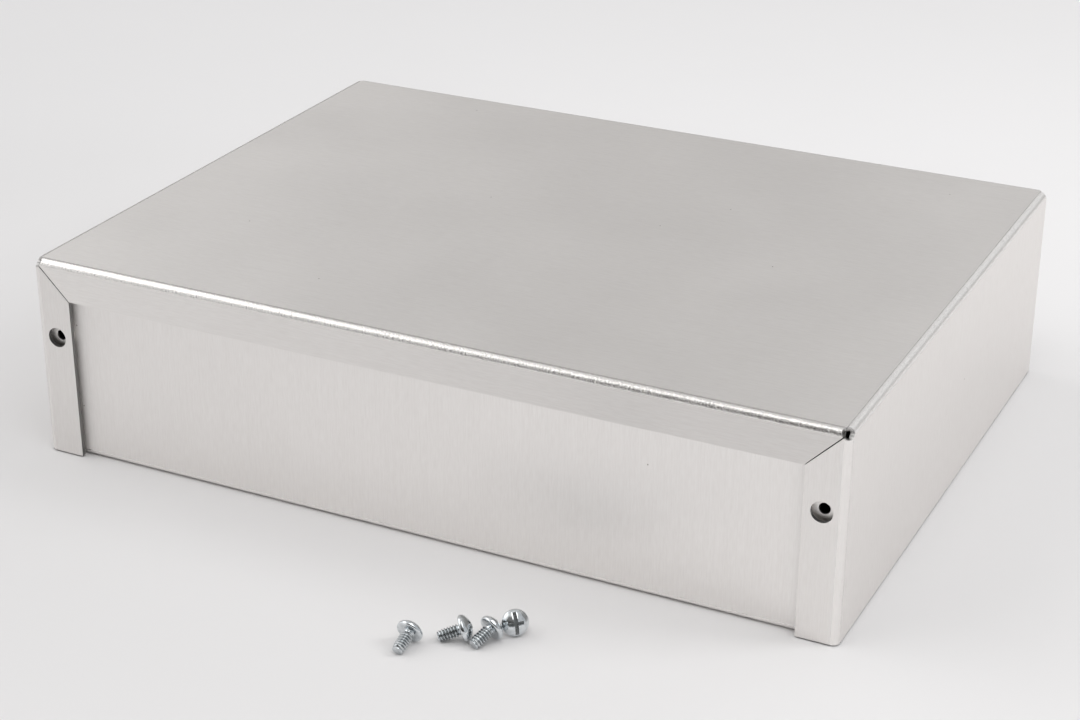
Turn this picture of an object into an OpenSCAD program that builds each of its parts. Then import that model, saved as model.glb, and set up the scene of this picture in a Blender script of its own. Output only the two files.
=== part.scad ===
// Two-piece enclosure folded from sheet aluminium. A cover with mitred flanges lifts off a plain
// U-shaped base. Its four screws are out and lie on the resting surface in front of it.
// Origin: centre of the underside. +X to the right, +Y to the back, +Z up. Millimetres.

/* [Enclosure] */
// Length from end to end
box_w = 254; // [160:1:400]
// Depth from front to back
box_d = 190.5; // [120:0.5:300]
// Height from the resting surface to the top
box_h = 63.5; // [50:0.5:120]

/* [Sheet] */
// Thickness of the sheet
sheet_t = 1.3; // [0.8:0.1:2]
// Inside radius of every bend
bend_inside_r = 0.8; // [0.4:0.1:1.5]

/* [Cover] */
// Width of the flanges folded round the front and back openings
flange_w = 12; // [10.5:0.5:18]
// Width of the mitre slits between the flanges
mitre_w = 0.2; // [0.1:0.1:0.6]
// Diameter of the relief hole at each top corner
relief_d = 3.6; // [3:0.1:6]

/* [Screw holes] */
// Distance of the holes from the ends of the enclosure
hole_inset = 6.6; // [6:0.1:7]
// Distance of the holes below the top
hole_drop = 24.5; // [18:0.5:30]
// Room round the thread in the cover's clearance holes, on the diameter
hole_play = 2.6; // [0.3:0.1:3]
// Bite of the thread in the base's pilot holes, on the diameter
thread_bite = 0.3; // [0.1:0.1:0.6]

/* [Fit] */
// Clearance between the base and the end of the cover's inside bends
fit_clear = 0.2; // [0.1:0.1:1]
// Gap between the tops of the base's panels and the underside of the cover
seat_gap = 0.3; // [0.1:0.1:1]
// Height of the cover's lower edges above the resting surface
edge_lift = 0.4; // [0.05:0.05:1]

/* [Screws] */
// Diameter over the thread
screw_d = 3.5; // [2.8:0.1:4.2]
// Length under the head
screw_len = 6.4; // [5:0.1:10]
// Length of the tapered tip
tip_len = 1.6; // [0.4:0.1:2.4]
// Diameter of the flat end of the tip
tip_d = 2.9; // [1.5:0.1:3.2]
// Diameter of the head
head_d = 7.4; // [7:0.1:7.6]
// Height of the head
head_h = 3; // [2.8:0.1:3.2]
// Radius of the round edge between the rim and the dome of the head
head_round = 0.7; // [0.5:0.1:0.9]
// Radius of the dome of the head
crown_r = 4.6; // [4.5:0.1:5]
// Width of the drive slot and of the cross recess
slot_w = 1; // [0.6:0.1:1.4]
// Length of the cross recess
cross_len = 4.2; // [3:0.1:5.5]
// Depth of the drive recess at the middle of the head
recess_depth = 1.2; // [0.6:0.1:1.6]
// Distance of the nearest screw's head in front of the enclosure
screws_out = 31; // [15:1:80]
// Distance of that screw to the right of the middle
screws_right = 48; // [-60:1:60]

/* [Hidden] */
$fn = 96;

// Overshoot of a cut past the faces that it opens
over = 1;

// Outside radius of every bend
bend_r = bend_inside_r + sheet_t;

// How far the base stands in from the cover's outside faces
base_inset = bend_r + fit_clear;
base_w = box_w - 2 * base_inset;
base_d = box_d - 2 * base_inset;
base_h = box_h - sheet_t - seat_gap;

// Screw holes, shared by the cover and the base
hole_x = box_w / 2 - hole_inset;
hole_z = box_h - hole_drop;
clearance_d = screw_d + hole_play;
pilot_d = screw_d - thread_bite;

head_r = head_d / 2;

// Head: the dome's middle lies below the crown, and the round edge runs smoothly into the dome and the rim
dome_z = head_h - crown_r;
edge_r = head_r - head_round;
edge_rise = sqrt(pow(crown_r - head_round, 2) - pow(edge_r, 2));
rim_h = dome_z + edge_rise;

// A lying screw rests on the lower edge of its head and on its tip
tip_tilt = atan2(head_r - tip_d / 2, screw_len);
thread_tilt = atan2((head_d - screw_d) / 2, screw_len - tip_len);
screw_tilt = min(tip_tilt, thread_tilt);

// Where each screw lies: right and back in steps of the mean screw size, then the compass of its head and
// its turn about itself in degrees
spot_step = (head_d + screw_len) / 2;
screw_spots = [[0, 0, -53, 5], [-0.6, -0.9, 71, 50], [-1.59, -1.35, 30, 103], [-3.25, -2.5, 89, 18]];

// Arch: a rectangle that stands on the X axis, with round upper corners
module arch(w, h, r) {
    translate([-w / 2, 0]) square([w, h - r]);
    translate([r - w / 2, 0]) square([w - 2 * r, h]);
    for (side = [-1, 1])
        translate([side * (w / 2 - r), h - r]) circle(r);
}

// Rectangle centred on the origin, with round corners
module round_rect(w, d, r) {
    square([w - 2 * r, d], center = true);
    square([w, d - 2 * r], center = true);
    for (x = [-1, 1], y = [-1, 1])
        translate([x * (w / 2 - r), y * (d / 2 - r)]) circle(r);
}

// Block that is round along every edge except those of its underside
module folded_block(w, d, h, r) {
    intersection() {
        translate([0, d / 2, 0]) rotate([90, 0, 0]) linear_extrude(d) arch(w, h, r);
        translate([-w / 2, 0, 0]) rotate([90, 0, 90]) linear_extrude(w) arch(d, h, r);
        linear_extrude(h) round_rect(w, d, r);
    }
}

// Holes that run from front to back on both sides, through the flanges or panels
module screw_holes(d) {
    for (side = [-1, 1])
        translate([side * hole_x, 0, hole_z])
            rotate([90, 0, 0]) cylinder(h = box_d + 2 * over, d = d, center = true);
}

// Mitre slits between the flanges at the four upper corners, from the relief hole to the window
module mitres() {
    start = relief_d / 2;
    end = (flange_w + over) * sqrt(2);
    for (back = [0, 1], right = [0, 1])
        mirror([right, 0, 0]) mirror([0, back, 0])
            translate([-box_w / 2, sheet_t + bend_inside_r / 2 - box_d / 2, box_h])
                rotate([90, 0, 0]) linear_extrude(sheet_t + over)
                    rotate(-45) translate([start, -mitre_w / 2]) square([end - start, mitre_w]);
}

// Relief holes through the four upper corners, where three bends meet
module corner_reliefs() {
    steep = acos(1 / sqrt(3));
    for (x = [-1, 1], y = [-1, 1])
        translate([x * box_w / 2, y * box_d / 2, box_h])
            rotate([0, steep, atan2(y, x)]) cylinder(h = 4 * bend_r + relief_d, d = relief_d, center = true);
}

module cover() {
    window_w = box_w - 2 * flange_w;
    color([0.80, 0.79, 0.78]) difference() {
        translate([0, 0, edge_lift]) folded_block(box_w, box_d, box_h - edge_lift, bend_r);
        translate([0, 0, edge_lift - over])
            folded_block(box_w - 2 * sheet_t, box_d - 2 * sheet_t,
                         box_h - edge_lift - sheet_t + over, bend_inside_r);
        translate([-window_w / 2, -box_d / 2 - over, edge_lift - over])
            cube([window_w, box_d + 2 * over, box_h - flange_w - edge_lift + over]);
        mitres();
        corner_reliefs();
        screw_holes(clearance_d);
    }
}

// Section of the base: a U with its bottom on the X axis and round lower corners
module base_section() {
    difference() {
        translate([0, base_h]) mirror([0, 1]) arch(base_d, base_h, bend_r);
        translate([0, base_h + over]) mirror([0, 1])
            arch(base_d - 2 * sheet_t, base_h + over - sheet_t, bend_inside_r);
    }
}

module base() {
    color([0.83, 0.82, 0.80]) difference() {
        translate([-base_w / 2, 0, 0]) rotate([90, 0, 90]) linear_extrude(base_w) base_section();
        screw_holes(pilot_d);
    }
}

// Domed head on the XY plane: a straight rim, a round edge and the dome, which meets that edge smoothly
module domed_head() {
    intersection() {
        rotate_extrude() {
            square([head_r, rim_h]);
            translate([edge_r, rim_h]) circle(head_round);
            polygon([[0, 0], [edge_r, 0], [edge_r, rim_h], 2 * [edge_r, rim_h] - [0, dome_z], [0, 2 * head_h]]);
        }
        translate([0, 0, dome_z]) sphere(crown_r);
        cylinder(h = 2 * head_h, r = head_r);
    }
}

// One screw along Z, the underside of its head at the origin and its tip below
module screw() {
    translate([0, 0, tip_len - screw_len]) cylinder(h = screw_len - tip_len + rim_h / 2, d = screw_d);
    translate([0, 0, -screw_len]) cylinder(h = tip_len, d1 = tip_d, d2 = screw_d);
    difference() {
        domed_head();
        translate([-head_r - over, -slot_w / 2, head_h - recess_depth]) cube([head_d + 2 * over, slot_w, head_h]);
        translate([-slot_w / 2, -cross_len / 2, head_h - recess_depth]) cube([slot_w, cross_len, head_h]);
    }
}

module cover_screws() {
    color([0.70, 0.72, 0.73])
        translate([screws_right, -box_d / 2 - screws_out, head_r * cos(screw_tilt)])
            for (spot = screw_spots)
                translate([spot[0], spot[1], 0] * spot_step)
                    rotate([0, 90 - screw_tilt, spot[2]]) rotate(spot[3]) screw();
}

cover();
base();
cover_screws();
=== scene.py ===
"""Looks of a two-piece enclosure folded from sheet aluminium, with its four loose cover screws.

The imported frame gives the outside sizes. A folded piece is built as its outside skin, bend by bend, and
every vertex remembers where it lay on the flat blank, so that the sheet's grain runs round the bends.
"""
import logging
import math
from dataclasses import dataclass, field
from enum import Enum

import bmesh
import bpy
from bmesh.types import BMEdge, BMesh, BMFace, BMVert
from bpy.types import Material, Node, NodeSocket, NodeTree, Object
from mathutils import Matrix, Quaternion, Vector


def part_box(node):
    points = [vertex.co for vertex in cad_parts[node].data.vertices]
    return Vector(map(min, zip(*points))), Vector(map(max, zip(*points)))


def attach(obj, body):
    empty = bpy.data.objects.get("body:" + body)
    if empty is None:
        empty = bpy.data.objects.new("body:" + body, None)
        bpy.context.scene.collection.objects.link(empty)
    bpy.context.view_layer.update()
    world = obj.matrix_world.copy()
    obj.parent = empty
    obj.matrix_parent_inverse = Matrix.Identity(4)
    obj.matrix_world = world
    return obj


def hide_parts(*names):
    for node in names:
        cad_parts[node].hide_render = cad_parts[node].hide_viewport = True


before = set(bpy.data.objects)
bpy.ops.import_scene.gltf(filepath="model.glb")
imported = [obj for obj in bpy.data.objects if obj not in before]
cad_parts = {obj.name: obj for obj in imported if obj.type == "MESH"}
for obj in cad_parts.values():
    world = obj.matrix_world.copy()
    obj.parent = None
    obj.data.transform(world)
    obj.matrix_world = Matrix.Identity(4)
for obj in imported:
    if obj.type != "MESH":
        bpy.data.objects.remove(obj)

LOG = logging.getLogger("enclosure")

MM = 0.001
SIDES = (-1, 1)
QUARTER = math.pi / 2
X = Vector((1, 0, 0))
Y = Vector((0, 1, 0))
Z = Vector((0, 0, 1))

# Points that lie closer than this are one point
TINY = 0.001 * MM

# Values between which most of a noise lies
MOST_OF_NOISE = (0.3, 0.7)

# Vertex attributes of the folded pieces: place on the flat blank in metres, direction across the rolling
# grain, and 1 on the round of a bend. The screws have one that rises towards the bottom of their hollows,
# where it darkens the zinc as painted shade.
BLANK = "blank"
CROSS = "cross"
BEND = "bend"
HOLLOW = "hollow"

Colour = tuple[float, float, float, float]
Triple = tuple[float, float, float]


class Body(Enum):
    """Bodies of the frame that pieces ride on."""

    BASE = "base"
    COVER = "cover"


class Slot(Enum):
    """Material slots of the record."""

    COVER = "cover_aluminium"
    BASE = "base_aluminium"
    SCREW = "screw_zinc"


class GrainRun(Enum):
    """Direction on the flat blank in which the rolling grain runs, as an angle from X."""

    LENGTHWISE = 0.0
    CROSSWISE = QUARTER


class NodeSheet:
    """Adds linked nodes to one node tree."""

    def __init__(self, tree: NodeTree) -> None:
        """Takes the tree and removes the nodes that it came with."""
        self.tree = tree
        tree.nodes.clear()

    def add(self, kind: str, inputs: dict | None = None, **settings: object) -> Node:
        """Adds one node.

        Args:
            kind: Type name of the node.
            inputs: Value or source socket for each input, by the input's name or number.
            settings: Attributes of the node.

        Returns:
            The new node.
        """
        node = self.tree.nodes.new(kind)
        for name, value in settings.items():
            setattr(node, name, value)
        for key, value in (inputs or {}).items():
            if isinstance(value, NodeSocket):
                self.tree.links.new(value, node.inputs[key])
            else:
                node.inputs[key].default_value = value
        return node

    def math(self, operation: str, *values: float | NodeSocket) -> NodeSocket:
        """Adds a Math node and returns its result."""
        return self.add("ShaderNodeMath", dict(enumerate(values)), operation=operation).outputs[0]

    def scaled(self, vector: NodeSocket, factors: Triple) -> NodeSocket:
        """Multiplies a vector by three factors and returns the result."""
        node = self.add("ShaderNodeVectorMath", {0: vector, 1: factors}, operation="MULTIPLY")
        return node.outputs["Vector"]

    def noise(self, place: NodeSocket, detail: float) -> NodeSocket:
        """Adds a noise of unit scale and returns its value."""
        node = self.add("ShaderNodeTexNoise", {"Vector": place, "Scale": 1.0, "Detail": detail})
        return node.outputs[0]

    def ramp(self, value: NodeSocket, low: float, high: float, out_low: float = 0.0,
             out_high: float = 1.0) -> NodeSocket:
        """Maps a value smoothly, so that low gives out_low and high gives out_high."""
        inputs = {"Value": value, "From Min": low, "From Max": high, "To Min": out_low, "To Max": out_high}
        return self.add("ShaderNodeMapRange", inputs, interpolation_type="SMOOTHSTEP").outputs["Result"]

    def mix_colour(self, factor: NodeSocket, first: Colour | NodeSocket,
                   second: Colour | NodeSocket) -> NodeSocket:
        """Mixes two colours.

        Args:
            factor: Share of the second colour.
            first: Colour where the factor is 0.
            second: Colour where the factor is 1.

        Returns:
            The mixed colour.
        """
        node = self.add("ShaderNodeMix", {"Factor": factor}, data_type="RGBA")
        for key, value in (("A", first), ("B", second)):
            socket = next(s for s in node.inputs if s.name == key and s.type == "RGBA")
            if isinstance(value, NodeSocket):
                self.tree.links.new(value, socket)
            else:
                socket.default_value = value
        return next(s for s in node.outputs if s.type == "RGBA")


class SurfaceGroups:
    """Effects that more than one material uses, each a node group that is built once."""

    # Grain: patterns per metre along and across the streaks, and the share of the fine ones
    FINE_GRAIN = (260, 2700, 1)
    LONG_GRAIN = (40, 1500, 1)
    FINE_SHARE = 0.65

    # Marks: smudges and cells per metre, the chance of a speck in a cell, and its radii in cell widths
    SMUDGES = (22, 22, 22)
    SPECK_CELLS = 70.0
    SPECK_CHANCE = 0.05
    SPECK_OUTER = 0.018
    SPECK_INNER = 0.008

    @staticmethod
    def _start(name: str, outputs: tuple[str, ...]) -> tuple[NodeSheet, NodeSocket, Node]:
        """Starts a group with one vector input.

        Args:
            name: Name of the group.
            outputs: Names of its value outputs.

        Returns:
            The sheet of nodes, the socket of the place on the surface, and the output node.
        """
        tree = bpy.data.node_groups.new(name, "ShaderNodeTree")
        tree.interface.new_socket("Place", in_out="INPUT", socket_type="NodeSocketVector")
        for output in outputs:
            tree.interface.new_socket(output, in_out="OUTPUT", socket_type="NodeSocketFloat")
        sheet = NodeSheet(tree)
        place = sheet.add("NodeGroupInput").outputs["Place"]
        return sheet, place, sheet.add("NodeGroupOutput")

    @classmethod
    def rolling_grain(cls) -> NodeTree:
        """Fine short streaks along X of the place.

        Returns:
            A group with two patterns around 0.5.
        """
        name = "rolling_grain"
        if name in bpy.data.node_groups:
            return bpy.data.node_groups[name]
        sheet, place, out = cls._start(name, ("Streaks", "Scratches"))
        fine = sheet.noise(sheet.scaled(place, cls.FINE_GRAIN), 2.0)
        long = sheet.noise(sheet.scaled(place, cls.LONG_GRAIN), 2.0)
        fine_part = sheet.math("MULTIPLY", fine, cls.FINE_SHARE)
        mixed = sheet.math("ADD", fine_part, sheet.math("MULTIPLY", long, 1 - cls.FINE_SHARE))
        sheet.tree.links.new(mixed, out.inputs["Streaks"])
        sheet.tree.links.new(fine, out.inputs["Scratches"])
        return sheet.tree

    @classmethod
    def handling_marks(cls) -> NodeTree:
        """Wide soft smudges and rare specks of dust.

        Returns:
            A group with the smudges around 0.5, and the specks as a mask.
        """
        name = "handling_marks"
        if name in bpy.data.node_groups:
            return bpy.data.node_groups[name]
        sheet, place, out = cls._start(name, ("Smudge", "Speck"))
        smudge = sheet.noise(sheet.scaled(place, cls.SMUDGES), 2.0)
        grid = {"Vector": place, "Scale": cls.SPECK_CELLS, "Randomness": 1.0}
        cells = sheet.add("ShaderNodeTexVoronoi", grid, voronoi_dimensions="2D")
        chance = sheet.add("ShaderNodeSeparateColor", {0: cells.outputs["Color"]}).outputs[0]
        chosen = sheet.math("GREATER_THAN", chance, 1 - cls.SPECK_CHANCE)
        dot = sheet.ramp(cells.outputs["Distance"], cls.SPECK_OUTER, cls.SPECK_INNER)
        sheet.tree.links.new(smudge, out.inputs["Smudge"])
        sheet.tree.links.new(sheet.math("MULTIPLY", chosen, dot), out.inputs["Speck"])
        return sheet.tree


class Finish:
    """A surface finish that makes one material."""

    name: str

    def material(self) -> Material:
        """Makes the finish's material at the first call.

        Returns:
            The one material of this finish.
        """
        found = bpy.data.materials.get(self.name)
        if found is None:
            found = bpy.data.materials.new(self.name)
            found.use_nodes = True
            self.draw(NodeSheet(found.node_tree))
        return found

    def draw(self, sheet: NodeSheet) -> None:
        """Draws the finish's nodes."""
        raise NotImplementedError

    @staticmethod
    def group(sheet: NodeSheet, tree: NodeTree, place: NodeSocket) -> Node:
        """Places a shared effect in the material.

        Args:
            sheet: Nodes of the material.
            tree: Group of the effect.
            place: Place on the surface that it reads.

        Returns:
            The node of the group.
        """
        node = sheet.add("ShaderNodeGroup", node_tree=tree)
        sheet.tree.links.new(place, node.inputs["Place"])
        return node

    @staticmethod
    def close(sheet: NodeSheet, inputs: dict) -> None:
        """Ends the material in a Principled shader with the given inputs."""
        shader = sheet.add("ShaderNodeBsdfPrincipled", inputs)
        sheet.add("ShaderNodeOutputMaterial", {"Surface": shader.outputs["BSDF"]})


@dataclass(frozen=True)
class SatinSheet(Finish):
    """Satin mill finish of sheet aluminium, with its rolling grain and stretched, shinier bends."""

    name: str
    run: GrainRun
    dark: Colour = (0.855, 0.831, 0.811, 1)
    light: Colour = (0.900, 0.879, 0.860, 1)
    dust: Colour = (0.30, 0.27, 0.24, 1)
    roughness: float = 0.42
    bend_roughness: float = 0.17
    anisotropy: float = 0.8
    smudging: float = 0.08
    grain_depth: float = 0.002 * MM
    peel_depth: float = 0.12 * MM
    peel_grid: Triple = (1300, 2500, 1)
    peel_slant: float = math.radians(40)

    def draw(self, sheet: NodeSheet) -> None:
        """Draws the grain, the smudges and the orange peel of the bends.

        Args:
            sheet: Nodes of the material.
        """
        blank = sheet.add("ShaderNodeAttribute", attribute_name=BLANK).outputs["Vector"]
        cross = sheet.add("ShaderNodeAttribute", attribute_name=CROSS).outputs["Vector"]
        bend = sheet.add("ShaderNodeAttribute", attribute_name=BEND).outputs["Fac"]
        turned = sheet.add("ShaderNodeMapping", {"Vector": blank, "Rotation": (0, 0, -self.run.value)})
        grain = self.group(sheet, SurfaceGroups.rolling_grain(), turned.outputs["Vector"])
        marks = self.group(sheet, SurfaceGroups.handling_marks(), blank)

        streaks = sheet.ramp(grain.outputs["Streaks"], *MOST_OF_NOISE)
        clean = sheet.mix_colour(streaks, self.dark, self.light)
        colour = sheet.mix_colour(marks.outputs["Speck"], clean, self.dust)

        uneven = sheet.math("MULTIPLY_ADD", marks.outputs["Smudge"], self.smudging,
                            self.roughness - self.smudging / 2)
        drop = sheet.math("MULTIPLY", bend, self.bend_roughness - self.roughness)

        slanted = sheet.add("ShaderNodeMapping", {"Vector": blank, "Rotation": (0, 0, self.peel_slant)})
        peel = sheet.noise(sheet.scaled(slanted.outputs["Vector"], self.peel_grid), 2.0)
        peel_height = sheet.math("MULTIPLY", sheet.math("MULTIPLY", peel, bend), self.peel_depth)
        height = sheet.math("MULTIPLY_ADD", grain.outputs["Scratches"], self.grain_depth, peel_height)
        bump = sheet.add("ShaderNodeBump", {"Height": height, "Strength": 1.0, "Distance": 1.0})
        across = sheet.add("ShaderNodeVectorTransform", {"Vector": cross}, vector_type="VECTOR",
                           convert_from="OBJECT", convert_to="WORLD")
        self.close(sheet, {
            "Base Color": colour, "Metallic": 1.0, "Roughness": sheet.math("ADD", uneven, drop),
            "Anisotropic": self.anisotropy, "Tangent": across.outputs["Vector"],
            "Normal": bump.outputs["Normal"],
        })


@dataclass(frozen=True)
class ShearedEdge(Finish):
    """Cut edge of the sheet: a rough, darker break, or the cleaner wall of a hole where bends meet."""

    name: str = "sheared_edge"
    dark: Colour = (0.17, 0.17, 0.165, 1)
    light: Colour = (0.33, 0.33, 0.325, 1)
    drilled: Colour = (0.6, 0.59, 0.58, 1)
    roughness: float = 0.42
    unevenness: float = 0.1
    mottle_grid: Triple = (2600, 2600, 2600)
    mottle_span: tuple[float, float] = (0.2, 0.8)
    mottle_depth: float = 0.004 * MM

    def draw(self, sheet: NodeSheet) -> None:
        """Draws the mottled break, and the hole's wall at the ends of the bends.

        Args:
            sheet: Nodes of the material.
        """
        place = sheet.add("ShaderNodeTexCoord").outputs["Object"]
        mottle = sheet.noise(sheet.scaled(place, self.mottle_grid), 2.0)
        torn = sheet.mix_colour(mottle, self.dark, self.light)
        bend = sheet.add("ShaderNodeAttribute", attribute_name=BEND).outputs["Fac"]
        relief = {"Height": mottle, "Strength": 1.0, "Distance": self.mottle_depth}
        bump = sheet.add("ShaderNodeBump", relief)
        uneven = sheet.ramp(mottle, *self.mottle_span, self.roughness - self.unevenness,
                            self.roughness + self.unevenness)
        self.close(sheet, {
            "Base Color": sheet.mix_colour(bend, torn, self.drilled), "Metallic": 1.0,
            "Roughness": uneven, "Normal": bump.outputs["Normal"],
        })


@dataclass(frozen=True)
class BrightZinc(Finish):
    """Bright zinc plate on steel, a little cool, a little uneven, dull in its hollows and painted darker
    there as shade.
    """

    name: str = "bright_zinc"
    dark: Colour = (0.62, 0.65, 0.67, 1)
    light: Colour = (0.76, 0.79, 0.81, 1)
    # Painted shade at the bottom of the thread and of the recess
    hollow_painted_shade: Colour = (0.17, 0.18, 0.18, 1)
    roughness: float = 0.11
    unevenness: float = 0.05
    hollow_dulling: float = 0.25
    cloud_grid: Triple = (900, 900, 900)
    cloud_depth: float = 0.004 * MM

    def draw(self, sheet: NodeSheet) -> None:
        """Draws the cloudy plate, its fine unevenness, and the painted shade in its hollows.

        Args:
            sheet: Nodes of the material.
        """
        place = sheet.add("ShaderNodeTexCoord").outputs["Object"]
        hollow = sheet.add("ShaderNodeAttribute", attribute_name=HOLLOW).outputs["Fac"]
        cloud = sheet.noise(sheet.scaled(place, self.cloud_grid), 3.0)
        relief = {"Height": cloud, "Strength": 1.0, "Distance": self.cloud_depth}
        bump = sheet.add("ShaderNodeBump", relief)
        plate = sheet.mix_colour(sheet.ramp(cloud, *MOST_OF_NOISE), self.dark, self.light)
        uneven = sheet.ramp(cloud, *MOST_OF_NOISE, self.roughness + self.unevenness,
                            self.roughness - self.unevenness)
        # The hollows are painted darker as shade, and made rougher
        self.close(sheet, {
            "Base Color": sheet.mix_colour(hollow, plate, self.hollow_painted_shade), "Metallic": 1.0,
            "Roughness": sheet.math("MULTIPLY_ADD", hollow, self.hollow_dulling, uneven),
            "Normal": bump.outputs["Normal"],
        })


@dataclass(frozen=True)
class PalePaper(Finish):
    """Matt white paper of the floor."""

    name: str = "pale_paper"
    # Painted light: the paper is painted dimmer near the front and brighter at the back
    near_painted_shade: Colour = (0.786, 0.776, 0.776, 1)
    far_painted_light: Colour = (0.885, 0.875, 0.877, 1)
    near_y: float = -0.15
    far_y: float = 0.35
    roughness: float = 0.9
    cloud_grid: Triple = (9, 9, 9)
    cloud_share: float = 0.3

    def draw(self, sheet: NodeSheet) -> None:
        """Draws a barely uneven white, painted lighter towards the back as painted light.

        Args:
            sheet: Nodes of the material.
        """
        place = sheet.add("ShaderNodeTexCoord").outputs["Object"]
        depth = sheet.add("ShaderNodeSeparateXYZ", {0: place}).outputs["Y"]
        # Painted light: share of the brighter back tone, rising from near_y to far_y
        back = sheet.math("SUBTRACT", sheet.ramp(depth, self.near_y, self.far_y), self.cloud_share / 2)
        cloud = sheet.noise(sheet.scaled(place, self.cloud_grid), 3.0)
        share = sheet.math("MULTIPLY_ADD", cloud, self.cloud_share, back)
        colour = sheet.mix_colour(share, self.near_painted_shade, self.far_painted_light)
        self.close(sheet, {"Base Color": colour, "Roughness": self.roughness})


@dataclass(frozen=True)
class Stock:
    """Sheet that the cover and the base are folded from."""

    thickness: float = 1.3 * MM
    inside_r: float = 0.8 * MM
    bend_steps: int = 16
    edge_break: float = 0.09 * MM

    @property
    def bend_r(self) -> float:
        """Outside radius of a bend."""
        return self.thickness + self.inside_r


@dataclass(frozen=True)
class ScrewHoles:
    """Where the screw holes lie, in the cover and in the base behind it."""

    inset: float = 6.6 * MM
    drop: float = 24.5 * MM

    def centre(self, right: int, back: int, face: float) -> Vector:
        """Middle of one hole, by the signs of its side and the distance of its face from the middle."""
        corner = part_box("cover")[1]
        return Vector((right * (corner.x - self.inset), back * face, corner.z - self.drop))


@dataclass
class Bend:
    """What one bend added to a skin: its new vertices, and the edge where it ends."""

    verts: list[BMVert]
    last: BMEdge

    @property
    def inner_verts(self) -> list[BMVert]:
        """New vertices that aren't on the last edge."""
        return [vert for vert in self.verts if vert not in self.last.verts]


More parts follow.
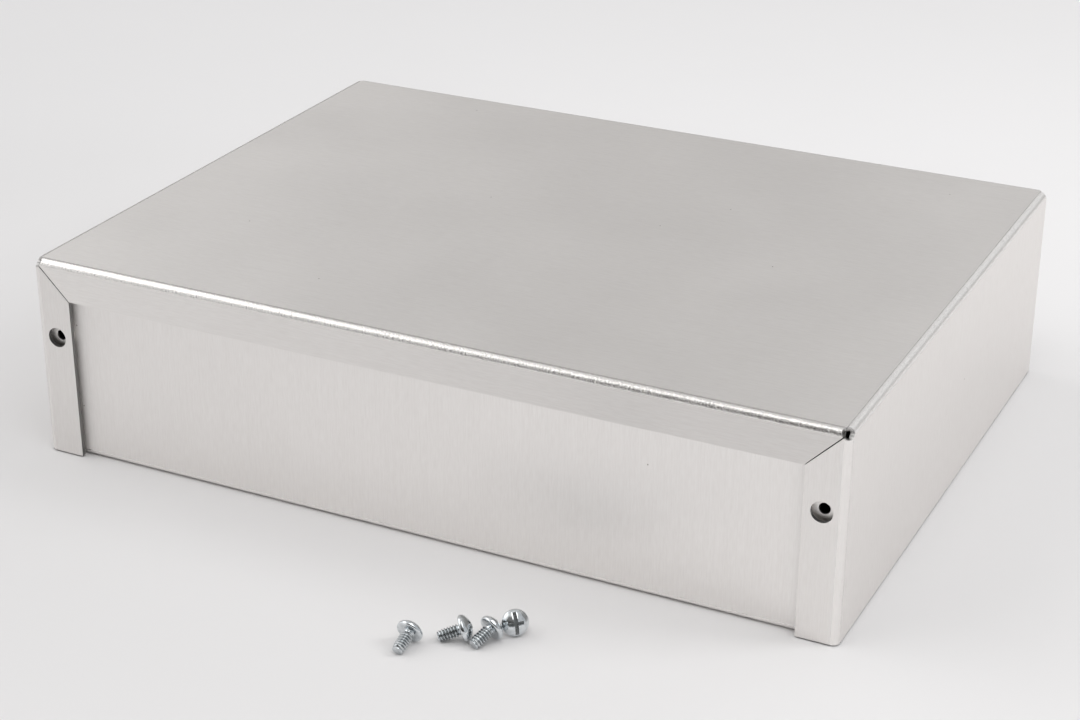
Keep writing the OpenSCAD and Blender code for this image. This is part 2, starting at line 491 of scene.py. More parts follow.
class FoldedSkin:
    """Outside skin of a piece that is folded from one flat blank."""

    def __init__(self, stock: Stock, finish: SatinSheet) -> None:
        """Starts an empty skin with the attributes of its vertices.

        Args:
            stock: Sheet that the piece is folded from.
            finish: Finish of the sheet.
        """
        self.stock = stock
        self.finish = finish
        self.mesh: BMesh = bmesh.new()
        self.blank = self.mesh.verts.layers.float_vector.new(BLANK)
        self.cross = self.mesh.verts.layers.float_vector.new(CROSS)
        self.bend = self.mesh.verts.layers.float.new(BEND)

    def plate(self, half_x: float, half_y: float, height: float) -> dict[tuple[int, int], BMEdge]:
        """Lays the flat rectangle that the folds start from.

        Args:
            half_x: Half its length.
            half_y: Half its depth.
            height: Its place along Z.

        Returns:
            Its four edges, by the signs of the direction that they lie in.
        """
        verts = bmesh.ops.create_grid(self.mesh, x_segments=1, y_segments=1, size=1)["verts"]
        bmesh.ops.scale(self.mesh, verts=verts, vec=(half_x, half_y, 1))
        bmesh.ops.translate(self.mesh, verts=verts, vec=Z * height)
        for vert in verts:
            vert[self.blank] = (vert.co.x, vert.co.y, 0)
            vert[self.cross] = (-math.sin(self.finish.run.value), math.cos(self.finish.run.value), 0)
        edges = {}
        for edge in self.mesh.edges:
            middle = (edge.verts[0].co + edge.verts[1].co) / 2
            edges[round(middle.x / half_x), round(middle.y / half_y)] = edge
        return edges

    def fold(self, edge: BMEdge, hinge: Vector, axis: Vector, angle: float, outward: Vector) -> Bend:
        """Bends the sheet on from one of its edges.

        Args:
            edge: Edge where the bend starts.
            hinge: Point on the axis of the bend.
            axis: Direction of that axis.
            angle: Angle of the bend, right-handed about the axis.
            outward: Direction on the flat blank in which the bend grows.

        Returns:
            The new vertices and the edge where the bend ends.
        """
        before = set(self.mesh.verts)
        start = self._spoke(edge.verts[0].co, hinge, axis)
        made = bmesh.ops.spin(self.mesh, geom=[edge, *edge.verts], cent=hinge, axis=axis, angle=angle,
                              steps=self.stock.bend_steps, use_merge=False, use_duplicate=False)
        last = next(item for item in made["geom_last"] if isinstance(item, BMEdge))
        verts = [vert for vert in self.mesh.verts if vert not in before]
        for vert in verts:
            turned = start.angle(self._spoke(vert.co, hinge, axis))
            vert[self.blank] += outward * (start.length * turned)
            vert[self.cross] = Quaternion(axis, math.copysign(turned, angle)) @ vert[self.cross]
            vert[self.bend] = 0.0 if vert in last.verts else 1.0
        return Bend(verts, last)

    @staticmethod
    def _spoke(point: Vector, hinge: Vector, axis: Vector) -> Vector:
        """Shortest way from an axis to a point."""
        arm = point - hinge
        return arm - axis * arm.dot(axis)

    def run_on(self, edge: BMEdge, step: Vector, outward: Vector) -> BMEdge:
        """Continues the sheet flat from one of its edges.

        Args:
            edge: Edge to start from.
            step: Way that the new edge lies from it.
            outward: Direction on the flat blank of that way.

        Returns:
            The new edge.
        """
        made = bmesh.ops.extrude_edge_only(self.mesh, edges=[edge])["geom"]
        verts = [item for item in made if isinstance(item, BMVert)]
        bmesh.ops.translate(self.mesh, verts=verts, vec=step)
        for vert in verts:
            vert[self.blank] += outward * step.length
        return next(item for item in made if isinstance(item, BMEdge) and set(item.verts) == set(verts))

    def slide(self, vert: BMVert, step: Vector, blank_step: Vector) -> None:
        """Moves a vertex within its flat, and its place on the blank with it."""
        vert.co += step
        vert[self.blank] += blank_step

    def punch(self, centre: Vector, radius: float, cell: float, segments: int) -> None:
        """Punches a round hole in a flat that faces front or back.

        Args:
            centre: Middle of the hole, on the flat.
            radius: Radius of the hole.
            cell: Half the side of the square that is cut out round the hole first.
            segments: Sides of the hole, a multiple of four.
        """
        for normal in (X, Z):
            for side in SIDES:
                face = self._face_at(centre)
                bmesh.ops.bisect_plane(self.mesh, geom=[face, *face.edges, *face.verts], dist=TINY / 10,
                                       plane_co=centre + normal * (side * cell), plane_no=normal)
        face = self._face_at(centre)
        corners = [(vert.co.copy(), vert[self.blank].copy()) for vert in face.verts]
        cross = face.verts[0][self.cross].copy()
        sides = list(face.edges)
        bmesh.ops.delete(self.mesh, geom=[face], context="FACES_ONLY")
        bmesh.ops.subdivide_edges(self.mesh, edges=sides, cuts=segments // 4 - 1)
        outer = [edge for edge in self.mesh.edges if edge.is_boundary
                 and all(max(map(abs, vert.co - centre)) < cell + TINY for vert in edge.verts)]
        turn = Matrix.Rotation(QUARTER, 4, X) @ Matrix.Rotation(QUARTER / 2, 4, Z)
        circle = bmesh.ops.create_circle(self.mesh, segments=segments, radius=radius,
                                         matrix=Matrix.Translation(centre) @ turn)["verts"]
        (start, start_blank), *others = corners
        for vert in circle:
            vert[self.blank] = start_blank
            vert[self.cross] = cross
            for end, end_blank in (others[0], others[-1]):
                share = (vert.co - start).dot(end - start) / (end - start).length_squared
                vert[self.blank] += (end_blank - start_blank) * share
        inner = {edge for vert in circle for edge in vert.link_edges}
        bmesh.ops.bridge_loops(self.mesh, edges=[*outer, *inner])

    def _face_at(self, point: Vector) -> BMFace:
        """Finds the face that holds a point.

        Args:
            point: Point on the skin.

        Returns:
            The face.
        """
        for face in self.mesh.faces:
            face.normal_update()
            flat = abs(face.normal.dot(point - face.verts[0].co)) < TINY
            if flat and bmesh.geometry.intersect_face_point(face, point):
                return face
        raise ValueError(f"no face at {point}")

    def to_object(self, name: str, outward: Vector) -> Object:
        """Turns the skin into a finished piece with the sheet's thickness and eased edges.

        Args:
            name: Name of the piece.
            outward: Direction in which the first plate faces.

        Returns:
            The new object.
        """
        bmesh.ops.recalc_face_normals(self.mesh, faces=self.mesh.faces[:])
        self.mesh.faces.ensure_lookup_table()
        if self.mesh.faces[0].normal.dot(outward) < 0:
            bmesh.ops.reverse_faces(self.mesh, faces=self.mesh.faces[:])
        for face in self.mesh.faces:
            face.smooth = True
        piece = new_object(name, self.mesh)
        piece.data.materials.append(self.finish.material())
        piece.data.materials.append(ShearedEdge().material())
        wall = piece.modifiers.new("thickness", "SOLIDIFY")
        wall.thickness = self.stock.thickness
        wall.offset = -1
        wall.use_even_offset = True
        wall.material_offset_rim = 1
        ease_edges(piece, self.stock.edge_break)
        return piece


def new_object(name: str, mesh: BMesh) -> Object:
    """Makes an object at the origin from a bmesh, and frees the bmesh.

    Args:
        name: Name of the object and of its mesh.
        mesh: Its shape.

    Returns:
        The new object, linked to the scene.
    """
    data = bpy.data.meshes.new(name)
    mesh.to_mesh(data)
    mesh.free()
    piece = bpy.data.objects.new(name, data)
    bpy.context.scene.collection.objects.link(piece)
    return piece


def ease_edges(piece: Object, width: float) -> None:
    """Breaks a piece's sharp edges and evens its shading with live modifiers.

    Args:
        piece: Piece to finish.
        width: Width of the broken edges.
    """
    bevel = piece.modifiers.new("edge_break", "BEVEL")
    bevel.limit_method = "ANGLE"
    bevel.angle_limit = math.radians(40)
    bevel.width = width
    bevel.segments = 2
    bevel.profile = 0.5
    bevel.material = -1
    shading = piece.modifiers.new("even_shading", "WEIGHTED_NORMAL")
    shading.mode = "FACE_AREA"
    shading.weight = 60


@dataclass
class Cover:
    """Cover: top, two ends, and flanges folded round the front and back openings."""

    stock: Stock
    holes: ScrewHoles
    hole_d: float = 6.1 * MM
    flange_w: float = 12 * MM
    mitre_w: float = 0.2 * MM
    relief_d: float = 3.6 * MM
    hole_cell: float = 4.3 * MM
    hole_segments: int = 64
    finish: SatinSheet = SatinSheet("satin_cover", GrainRun.LENGTHWISE)
    skin: FoldedSkin = field(init=False)
    half: Vector = field(init=False)
    low: float = field(init=False)
    top: float = field(init=False)

    def __post_init__(self) -> None:
        """Takes the outside size from the frame."""
        lowest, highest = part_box("cover")
        self.half = (highest - lowest) / 2
        self.low = lowest.z
        self.top = highest.z
        self.skin = FoldedSkin(self.stock, self.finish)

    def build(self) -> Object:
        """Folds the cover.

        Returns:
            The finished piece.
        """
        bend_r = self.stock.bend_r
        edges = self.skin.plate(self.half.x - bend_r, self.half.y - bend_r, self.top)
        for side in SIDES:
            self._fold_window_flange(edges[0, side], side)
        for side in SIDES:
            self._fold_end(edges[side, 0], side)
        for x in SIDES:
            for y in SIDES:
                centre = self.holes.centre(x, y, self.half.y)
                self.skin.punch(centre, self.hole_d / 2, self.hole_cell, self.hole_segments)
        piece = self.skin.to_object("folded_cover", Z)
        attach(piece, Body.COVER.value)
        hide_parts("cover")
        return piece

    def _fold_window_flange(self, edge: BMEdge, side: int) -> None:
        """Folds the flange over the front or back window.

        Args:
            edge: Edge of the top that it hangs from.
            side: -1 for the front, 1 for the back.
        """
        bend_r = self.stock.bend_r
        hinge = Vector((0, side * (self.half.y - bend_r), self.top - bend_r))
        bend = self.skin.fold(edge, hinge, X, -side * QUARTER, Y * side)
        for vert in bend.verts:
            self._relieve(vert, 0)
        lip = self.skin.run_on(bend.last, Z * (bend_r - self.flange_w), Y * side)
        for vert in lip.verts:
            target = math.copysign(self.half.x - self._mitre_foot, vert.co.x)
            shift = X * (target - vert.co.x)
            self.skin.slide(vert, shift, shift)

    def _fold_end(self, edge: BMEdge, side: int) -> None:
        """Folds an end down, and its flanges round the front and back.

        Args:
            edge: Edge of the top that it hangs from.
            side: -1 for the left end, 1 for the right one.
        """
        bend_r = self.stock.bend_r
        hinge = Vector((side * (self.half.x - bend_r), 0, self.top - bend_r))
        bend = self.skin.fold(edge, hinge, Y, side * QUARTER, X * side)
        for vert in bend.inner_verts:
            self._relieve(vert, 1)
        foot = self.skin.run_on(bend.last, Z * (self.low - self.top + bend_r), X * side)
        wall = foot.link_faces[0]
        for way in SIDES:
            upright = next(e for e in wall.edges if all(v.co.y * way > 0 for v in e.verts))
            self._fold_side_flange(upright, side, way)

    def _fold_side_flange(self, edge: BMEdge, side: int, way: int) -> None:
        """Folds the flange beside the front or back window.

        Args:
            edge: Upright edge of the end that it starts from.
            side: -1 for the left end, 1 for the right one.
            way: -1 for the front, 1 for the back.
        """
        bend_r = self.stock.bend_r
        hinge = Vector((side * (self.half.x - bend_r), way * (self.half.y - bend_r), 0))
        bend = self.skin.fold(edge, hinge, Z, side * way * QUARTER, Y * way)
        middle = (self.low + self.top) / 2
        for vert in bend.verts:
            if vert.co.z > middle:
                self._relieve(vert, 2)
        lip = self.skin.run_on(bend.last, X * (side * (bend_r - self.flange_w)), Y * way)
        upper = max(lip.verts, key=lambda vert: vert.co.z)
        drop = upper.co.z - (self.top - self._mitre_foot)
        self.skin.slide(upper, Z * -drop, X * (side * drop))

    @property
    def _mitre_foot(self) -> float:
        """How far the lower end of a mitred edge lies from the cover's end or top."""
        return self.flange_w + self.mitre_w / math.sqrt(2)

    def _relieve(self, vert: BMVert, axis: int) -> None:
        """Slides a vertex of a bend along it, onto the round relief of the nearest top corner.

        The relief is a cylinder along the corner's diagonal. Counted from the corner, a point's squared
        distance from that diagonal is the sum of its squares less a third of the square of its sum.

        Args:
            vert: Vertex at the end of a bend.
            axis: Number of the axis that the bend runs along.
        """
        corner = Vector((self.half.x, self.half.y, self.top))
        corner.x = math.copysign(corner.x, vert.co.x)
        corner.y = math.copysign(corner.y, vert.co.y)
        inside = [-abs(vert.co[i] - corner[i]) for i in range(3)]
        first, second = (inside[i] for i in range(3) if i != axis)
        both = first + second
        rest = 1.5 * (first**2 + second**2 - (self.relief_d / 2) ** 2) - both**2 / 2
        reach = (math.sqrt(both**2 - 4 * rest) - both) / 2
        vert.co[axis] = corner[axis] - math.copysign(reach, corner[axis])


@dataclass
class Base:
    """Base: a bottom with a front and a back panel, folded to a U."""

    stock: Stock
    holes: ScrewHoles
    hole_d: float = 3.2 * MM
    hole_cell: float = 3.2 * MM
    hole_segments: int = 40
    # The base's sheet is painted lighter than the cover's, as painted light on its front and back panels
    finish: SatinSheet = SatinSheet("satin_base", GrainRun.CROSSWISE, dark=(0.895, 0.871, 0.851, 1),
                                    light=(0.945, 0.924, 0.905, 1))

    def build(self) -> Object:
        """Folds the base.

        Returns:
            The finished piece.
        """
        lowest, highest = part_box("base")
        half = (highest - lowest) / 2
        bend_r = self.stock.bend_r
        skin = FoldedSkin(self.stock, self.finish)
        edges = skin.plate(half.x, half.y - bend_r, lowest.z)
        for side in SIDES:
            hinge = Vector((0, side * (half.y - bend_r), lowest.z + bend_r))
            bend = skin.fold(edges[0, side], hinge, X, side * QUARTER, Y * side)
            skin.run_on(bend.last, Z * (highest.z - lowest.z - bend_r), Y * side)
            for right in SIDES:
                centre = self.holes.centre(right, side, half.y)
                skin.punch(centre, self.hole_d / 2, self.hole_cell, self.hole_segments)
        piece = skin.to_object("folded_base", -Z)
        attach(piece, Body.BASE.value)
        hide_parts("base")
        return piece


@dataclass(frozen=True)
class Screw:
    """One domed-head screw along Z, the underside of its head at the origin and its tip below."""

    thread_d: float = 3.5 * MM
    length: float = 6.4 * MM
    pitch: float = 0.8 * MM
    thread_depth: float = 0.48 * MM
    neck_round: float = 0.48 * MM
    run_in: float = 0.5 * MM
    tip_len: float = 1.6 * MM
    tip_d: float = 2.9 * MM
    head_d: float = 7.4 * MM
    head_h: float = 3.0 * MM
    head_round: float = 0.7 * MM
    crown_r: float = 4.6 * MM
    under_round: float = 0.6 * MM
    slot_w: float = 1.0 * MM
    cross_len: float = 4.2 * MM
    recess_depth: float = 1.2 * MM
    recess_round: float = 0.1 * MM
    head_steps: int = 64
    crown_steps: int = 10
    round_steps: int = 6
    thread_steps: int = 40
    crease: float = math.radians(32)
    hollow_shade: float = 0.8

    @property
    def rim_h(self) -> float:
        """Height of the straight rim, above which the round edge runs smoothly into the dome."""
        rise = math.sqrt((self.crown_r - self.head_round)**2 - (self.head_d / 2 - self.head_round)**2)
        return self.head_h - self.crown_r + rise

    @property
    def tilt(self) -> float:
        """Slope of a screw that lies on the edge of its head and on its tip.

        Returns:
            The angle from the floor to the screw's axis.
        """
        on_tip = math.atan2((self.head_d - self.tip_d) / 2, self.length)
        on_thread = math.atan2((self.head_d - self.thread_d) / 2, self.length - self.tip_len)
        return min(on_tip, on_thread)

    def build(self) -> BMesh:
        """Makes the screw as one closed skin.

        Returns:
            The new mesh.
        """
        mesh = bmesh.new()
        hollow = mesh.verts.layers.float.new(HOLLOW)
        under_head = self._turn_head(mesh)
        self._cut_recess(mesh)
        shank_top = self._roll_thread(mesh)
        bmesh.ops.bridge_loops(mesh, edges=[*under_head, *shank_top])
        bmesh.ops.recalc_face_normals(mesh, faces=mesh.faces[:])
        for vert in mesh.verts:
            vert[hollow] = self._hollow_at(vert.co)
        for face in mesh.faces:
            face.smooth = True
        for edge in mesh.edges:
            edge.smooth = edge.calc_face_angle(0) < self.crease
        return mesh

    def _hollow_at(self, point: Vector) -> float:
        """How deep in the thread or in the recess a point lies.

        Args:
            point: Point on the screw.

        Returns:
            0 on the open surface, up to the hollow's shade at its bottom.
        """
        reach = math.hypot(*point.xy)
        if point.z < -TINY:
            depth = (min(self.thread_d / 2, self._tip_reach(point.z)) - reach) / self.thread_depth
            depth *= self._run_in_share(point.z)
        else:
            crown = self.head_h - self.crown_r + math.sqrt(self.crown_r**2 - reach**2)
            inside = reach < self.head_d / 2 - self.head_round and point.z > self.rim_h / 2
            depth = (crown - point.z) / self.recess_depth if inside else 0.0
        return max(0.0, min(1.0, depth)) * self.hollow_shade

    def _run_in_share(self, height: float) -> float:
        """How much of the thread's height is left at a height near the head, from 0 to 1."""
        return max(0.0, min(1.0, (-height - self.neck_round) / self.run_in))

    def _tip_reach(self, height: float) -> float:
        """Radius of the tapered tip at a height, or more above it."""
        share = (height + self.length) / self.tip_len
        return self.tip_d / 2 + (self.thread_d - self.tip_d) / 2 * share

    def _turn_head(self, mesh: BMesh) -> list[BMEdge]:
        """Turns the domed head about Z.

        Args:
            mesh: Empty mesh of the screw.

        Returns:
            The round edges of the opening for the shank, under the head.
        """
        head_r = self.head_d / 2
        crown_middle = Vector((0, 0, self.head_h - self.crown_r))
        round_middle = Vector((head_r - self.head_round, 0, self.rim_h))
        lean = math.acos((round_middle - crown_middle).normalized().z)

        profile_end = mesh.verts.new((0, 0, self.head_h))
        profile_end = self._sweep(mesh, profile_end, crown_middle, lean, self.crown_steps)
        profile_end = self._sweep(mesh, profile_end, round_middle, QUARTER - lean, self.round_steps)
        for point in ((head_r, 0, 0), (self.thread_d / 2, 0, 0)):
            profile_end = bmesh.ops.extrude_vert_indiv(mesh, verts=[profile_end])["verts"][0]
            profile_end.co = point
        bmesh.ops.spin(mesh, geom=[*mesh.verts, *mesh.edges], cent=(0, 0, 0), axis=Z, angle=math.tau,
                       steps=self.head_steps, use_merge=True)
        bmesh.ops.remove_doubles(mesh, verts=mesh.verts[:], dist=TINY)
        lowest = {vert for vert in mesh.verts if abs(vert.co.z) < TINY}
        widest = {vert for vert in lowest if math.hypot(*vert.co.xy) > head_r - TINY}
        rim = [edge for edge in mesh.edges if widest.issuperset(edge.verts)]
        bmesh.ops.bevel(mesh, geom=rim, offset=self.under_round, affect="EDGES", segments=5, profile=0.5,
                        material=-1)
        return [edge for edge in mesh.edges if edge.is_boundary]

    @staticmethod
    def _sweep(mesh: BMesh, vert: BMVert, middle: Vector, angle: float, steps: int) -> BMVert:
        """Draws an arc of the head's profile from a vertex towards the rim, and returns its last vertex."""
        made = bmesh.ops.spin(mesh, geom=[vert], cent=middle, axis=Y, angle=angle, steps=steps)
        return next(item for item in made["geom_last"] if isinstance(item, BMVert))

    def _cut_recess(self, mesh: BMesh) -> None:
        """Sinks the drive slot along X and the cross recess along Y into the dome.

        Args:
            mesh: Mesh that holds the head.
        """
        floor = self.head_h - self.recess_depth
        half_slot = self.slot_w / 2
        half_cross = self.cross_len / 2
        cuts = [(Z, floor)]
        for side in SIDES:
            cuts += [(X, side * half_slot), (Y, side * half_slot), (Y, side * half_cross)]
        for normal, place in cuts:
            upper = [face for face in mesh.faces if max(vert.co.z for vert in face.verts) > floor]
            geom = {item for face in upper for item in (face, *face.edges, *face.verts)}
            bmesh.ops.bisect_plane(mesh, geom=list(geom), dist=TINY / 2, plane_co=normal * place,
                                   plane_no=normal)
        sunk = []
        for face in mesh.faces:
            middle = face.calc_center_median()
            in_slot = abs(middle.y) < half_slot
            in_cross = abs(middle.x) < half_slot and abs(middle.y) < half_cross
            if middle.z > floor and (in_slot or in_cross):
                sunk.append(face)
        made = bmesh.ops.extrude_face_region(mesh, geom=sunk)["geom"]
        for item in made:
            if isinstance(item, BMVert):
                item.co.z = floor
        bmesh.ops.delete(mesh, geom=[face for face in sunk if face.is_valid], context="FACES")
        bmesh.ops.remove_doubles(mesh, verts=mesh.verts[:], dist=TINY * 2)
        mouth = [edge for edge in mesh.edges if edge.calc_face_angle(0) > self.crease
                 and all(vert.co.z > floor + self.recess_round / 2 for vert in edge.verts)]
        bmesh.ops.bevel(mesh, geom=mouth, offset=self.recess_round, affect="EDGES", segments=2, profile=0.5,
                        material=-1, clamp_overlap=True)

    def _roll_thread(self, mesh: BMesh) -> list[BMEdge]:
        """Rolls the threaded shank below the head.

        Args:
            mesh: Mesh that already holds the head.

        Returns:
            The edges round the shank's upper end.
        """
        crest = self.thread_d / 2
        root = crest - self.thread_depth
        before = set(mesh.verts)
        start = -self.length - self.pitch
        # Section of one turn: radius, and height as a share of the pitch
        ridge = ((root, 0), (root, 0.14), (crest, 0.51), (crest, 0.63), (root, 1))
        verts = [mesh.verts.new((reach, 0, start + share * self.pitch)) for reach, share in ridge]
        edges = [mesh.edges.new(pair) for pair in zip(verts, verts[1:])]
        turns = math.ceil(self.length / self.pitch) + 2
        bmesh.ops.spin(mesh, geom=[*verts, *edges], cent=(0, 0, 0), axis=Z, angle=math.tau * turns,
                       dvec=Z * (self.pitch / self.thread_steps), steps=turns * self.thread_steps)
        shank = [vert for vert in mesh.verts if vert not in before]
        bmesh.ops.remove_doubles(mesh, verts=shank, dist=TINY)
        ends = []
        for height, way in ((0, 1), (-self.length, -1)):
            shank = [vert for vert in mesh.verts if vert not in before]
            geom = {item for vert in shank for item in (vert, *vert.link_edges, *vert.link_faces)}
            made = bmesh.ops.bisect_plane(mesh, geom=list(geom), dist=TINY / 2, plane_co=Z * height,
                                          plane_no=Z * way, clear_outer=True)
            ends.append([item for item in made["geom_cut"] if isinstance(item, BMEdge)])
        for vert in mesh.verts:
            if vert not in before:
                self._trim(vert, root, crest)
        bmesh.ops.edgeloop_fill(mesh, edges=ends[1])
        return ends[0]

    def _trim(self, vert: BMVert, root: float, crest: float) -> None:
        """Draws a vertex of the thread in to the flared neck or the tapered tip.

        Args:
            vert: Vertex of the shank.
            root: Radius at the foot of the thread.
            crest: Radius over the thread.
        """
        reach = math.hypot(*vert.co.xy)
        run_in = root + (crest - root) * self._run_in_share(vert.co.z)
        scale = min(1.0, run_in / reach, self._tip_reach(vert.co.z) / reach)
        up_neck = self.neck_round + vert.co.z
        if up_neck > 0:
            flare = self.neck_round - math.sqrt(max(0.0, self.neck_round**2 - up_neck**2))
            scale = (root + flare) / reach
        vert.co.x *= scale
        vert.co.y *= scale


@dataclass(frozen=True)
class Spot:
    """Where one loose screw lies.

    It lies to the right and to the back of the first one, in steps of the mean screw size. The heading is
    the compass angle of its head, anticlockwise from +X, and the spin its turn about itself, in degrees.
    """

    right: float
    back: float
    heading: float
    spin: float


@dataclass
class LooseScrews:
    """The four cover screws, where they lie in front of the enclosure."""

    screw: Screw
    out: float = 31 * MM
    right: float = 48 * MM
    spots: tuple[Spot, ...] = (
        Spot(right=0, back=0, heading=-53, spin=5),
        Spot(right=-0.6, back=-0.9, heading=71, spin=50),
        Spot(right=-1.59, back=-1.35, heading=30, spin=103),
        Spot(right=-3.25, back=-2.5, heading=89, spin=18),
    )

    def build(self) -> list[Object]:
        """Makes the four screws.

        Returns:
            The finished pieces.
        """
        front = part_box("cover")[0].y
        rise = self.screw.head_d / 2 * math.cos(self.screw.tilt)
        first = Vector((self.right, front - self.out, rise))
        step = (self.screw.head_d + self.screw.length) / 2
        pieces = []
        for number, spot in enumerate(self.spots, start=1):
            place = Matrix.Translation(first + Vector((spot.right, spot.back, 0)) * step)
            turn = Matrix.Rotation(math.radians(spot.heading), 4, Z)
            lie = Matrix.Rotation(QUARTER - self.screw.tilt, 4, Y)
            roll = Matrix.Rotation(math.radians(spot.spin), 4, Z)
            mesh = self.screw.build()
            bmesh.ops.transform(mesh, matrix=place @ turn @ lie @ roll, verts=mesh.verts[:])
            piece = new_object(f"cover_screw_{number}", mesh)
            piece.data.materials.append(BrightZinc().material())
            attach(piece, Body.BASE.value)
            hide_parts("cover_screws")
            pieces.append(piece)
        return pieces


@dataclass(frozen=True)
class Patch:
    """Part of the surrounding tent with its own brightness.

    The compass angles run anticlockwise from +X, and the patch lies from the first to the second. They and
    the heights above the horizon are in degrees. The edge is half the soft width of its borders.
    """

    colour: Colour
    start: float
    end: float
    low: float
    high: float
    edge: float = 0.05

    def mask(self, sheet: NodeSheet, ray: NodeSocket, height: NodeSocket) -> NodeSocket:
        """Draws the patch's mask.

        Args:
            sheet: Nodes of the world.
            ray: Direction of the ray.
            height: Its Z.

        Returns:
            1 inside the patch and 0 outside.
        """
        first, last = math.radians(self.start), math.radians(self.end)
        low, high = math.sin(math.radians(self.low)), math.sin(math.radians(self.high))
        above = sheet.ramp(height, low - self.edge, low + self.edge)
        below = sheet.ramp(height, high + self.edge, high - self.edge)
        mask = sheet.math("MULTIPLY", above, below)
        for normal in ((-math.sin(first), math.cos(first), 0), (math.sin(last), -math.cos(last), 0)):
            inward = sheet.add("ShaderNodeVectorMath", {0: ray, 1: normal}, operation="DOT_PRODUCT")
            mask = sheet.math("MULTIPLY", mask, sheet.ramp(inward.outputs["Value"], -self.edge, self.edge))
        return mask


@dataclass(frozen=True)
class Softbox:
    """Rectangular soft light that aims at the middle of the enclosure.

    A light that isn't mirrored casts its shadows on the floor and leaves no glare on the metal.
    """

    name: str
    place: Triple
    width: float
    height: float
    power: float
    mirrored: bool = True

    def build(self, aim: Vector) -> None:
        """Adds the light.

        Args:
            aim: Point that it is turned to.
        """
        lamp = bpy.data.lights.new(self.name, "AREA")
        lamp.shape = "RECTANGLE"
        lamp.size = self.width
        lamp.size_y = self.height
        lamp.energy = self.power
        light = bpy.data.objects.new(self.name, lamp)
        light.location = self.place
        light.visible_glossy = self.mirrored
        light.rotation_mode = "QUATERNION"
        light.rotation_quaternion = (aim - light.location).to_track_quat("-Z", "Y")
        bpy.context.scene.collection.objects.link(light)


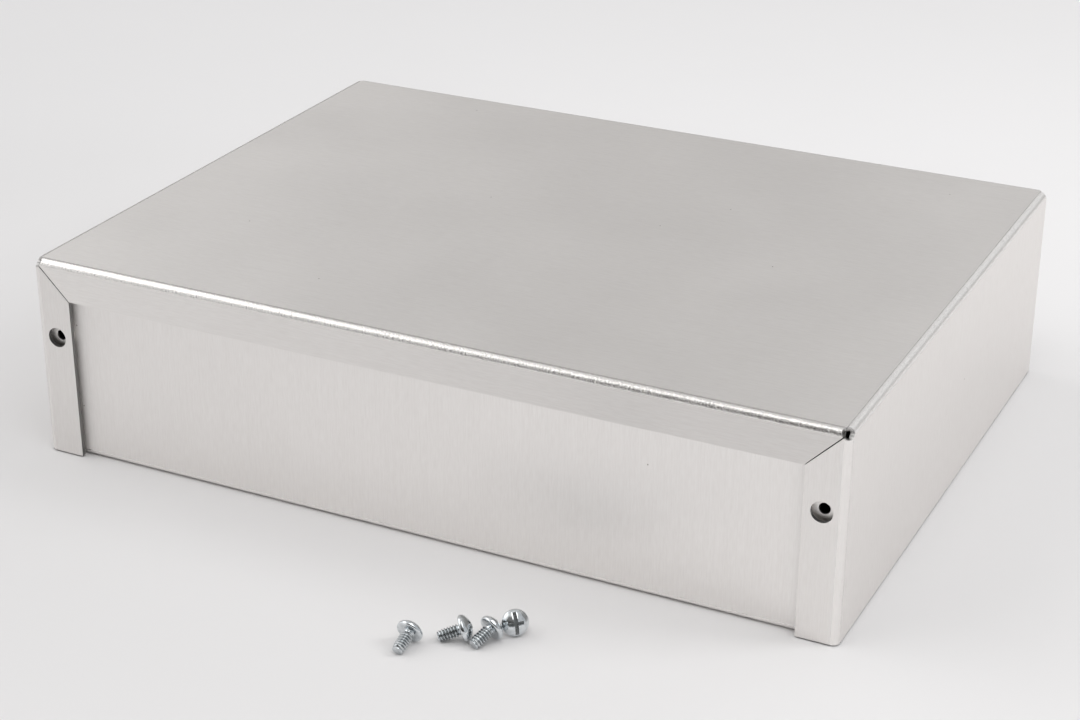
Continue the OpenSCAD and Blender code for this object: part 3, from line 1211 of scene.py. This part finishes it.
@dataclass
class Studio:
    """Pale floor, white tent, soft lights and the camera."""

    floor_half: float = 6.0
    aim: Vector = field(default_factory=lambda: Vector((0, 0, 0.03)))
    softboxes: tuple[Softbox, ...] = (
        Softbox("right_softbox", (0.79, 0.21, 0.74), 0.3, 0.4, 2.3, mirrored=False),
        Softbox("high_softbox", (0.38, -0.45, 1.15), 0.85, 1.15, 4.7),
    )
    # Tent: its wall, its roof and the height in degrees where that starts, and then its patches, each over
    # those before it
    wall: Colour = (0.46, 0.455, 0.455, 1)
    roof: Colour = (0.67, 0.667, 0.667, 1)
    roof_from: float = 53.0
    roof_edge: float = 0.05
    patches: tuple[Patch, ...] = (
        # Dim strip at the back
        Patch((0.31, 0.298, 0.29, 1), 112, 129, 32, 53),
        # Cool wall on the right
        Patch((0.55, 0.563, 0.577, 1), -42, 45, -10, 53),
        # Pale wall at the back right
        Patch((0.93, 0.94, 0.95, 1), 52, 99, 10, 36, 0.1),
        # Dark horizon at the back
        Patch((0.14, 0.14, 0.14, 1), 97, 165, -10, 9),
        # Window on the left, its brighter upper part, and the curtain beside it
        Patch((1.0, 1.0, 1.0, 1), 160, 241, -10, 55, 0.1),
        Patch((1.95, 1.95, 1.95, 1), 160, 241, 28, 55, 0.1),
        Patch((0.90, 0.90, 0.89, 1), 228, 262, 24, 75, 0.08),
        # Room behind the camera, and its darker lower part
        Patch((0.22, 0.215, 0.21, 1), 243, 318, -10, 55, 0.1),
        Patch((0.06, 0.058, 0.056, 1), 241, 318, -10, 26, 0.15),
    )
    # Camera: where it looks from, as angles in degrees and a distance from its target, and its lens
    azimuth: float = 26.142
    elevation: float = 25.108
    roll: float = 0.166
    distance: float = 714.951 * MM
    target: Triple = (-6.724 * MM, 0.0, 15.502 * MM)
    sensor: float = 36.0
    lens: float = 75.18

    def build(self) -> None:
        """Sets up the whole stage."""
        bpy.context.scene.view_settings.view_transform = "Standard"
        self._lay_floor()
        self._hang_tent()
        for softbox in self.softboxes:
            softbox.build(self.aim)
        self._place_camera()

    def _lay_floor(self) -> None:
        """Lays the floor under the enclosure."""
        mesh = bmesh.new()
        bmesh.ops.create_grid(mesh, x_segments=8, y_segments=8, size=self.floor_half)
        floor = new_object("floor", mesh)
        floor.data.materials.append(PalePaper().material())

    def _hang_tent(self) -> None:
        """Lights the scene from a tent with a bright roof and patches of their own brightness."""
        world = bpy.data.worlds.new("tent")
        bpy.context.scene.world = world
        world.use_nodes = True
        sheet = NodeSheet(world.node_tree)
        ray = sheet.add("ShaderNodeTexCoord").outputs["Generated"]
        height = sheet.add("ShaderNodeSeparateXYZ", {0: ray}).outputs["Z"]
        eaves = math.sin(math.radians(self.roof_from))
        overhead = sheet.ramp(height, eaves - self.roof_edge, eaves + self.roof_edge)
        colour = sheet.mix_colour(overhead, self.wall, self.roof)
        for patch in self.patches:
            colour = sheet.mix_colour(patch.mask(sheet, ray, height), colour, patch.colour)
        shader = sheet.add("ShaderNodeBackground", {"Color": colour, "Strength": 1.0})
        sheet.add("ShaderNodeOutputWorld", {"Surface": shader.outputs["Background"]})

    def _place_camera(self) -> None:
        """Places the camera at the photograph's angle."""
        turn, tilt = math.radians(self.azimuth), math.radians(self.elevation)
        back = Vector((math.sin(turn) * math.cos(tilt), -math.cos(turn) * math.cos(tilt), math.sin(tilt)))
        data = bpy.data.cameras.new("camera")
        data.sensor_fit = "HORIZONTAL"
        data.sensor_width = self.sensor
        data.lens = self.lens
        data.clip_start = 0.01
        camera = bpy.data.objects.new("camera", data)
        camera.location = Vector(self.target) + back * self.distance
        camera.rotation_mode = "QUATERNION"
        level = (-back).to_track_quat("-Z", "Y")
        camera.rotation_quaternion = level @ Quaternion(Z, math.radians(self.roll))
        bpy.context.scene.collection.objects.link(camera)
        bpy.context.scene.camera = camera


def main() -> None:
    """Builds the enclosure, its screws and the stage, and reports each piece."""
    logging.basicConfig(level=logging.INFO, format="%(name)s: %(message)s")
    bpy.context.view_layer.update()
    stock = Stock()
    holes = ScrewHoles()
    pieces = [Cover(stock, holes).build(), Base(stock, holes).build()]
    pieces += LooseScrews(Screw()).build()
    for piece in pieces:
        LOG.info("%s: %d faces before its modifiers", piece.name, len(piece.data.polygons))
    Studio().build()


if __name__ == "__main__":
    main()
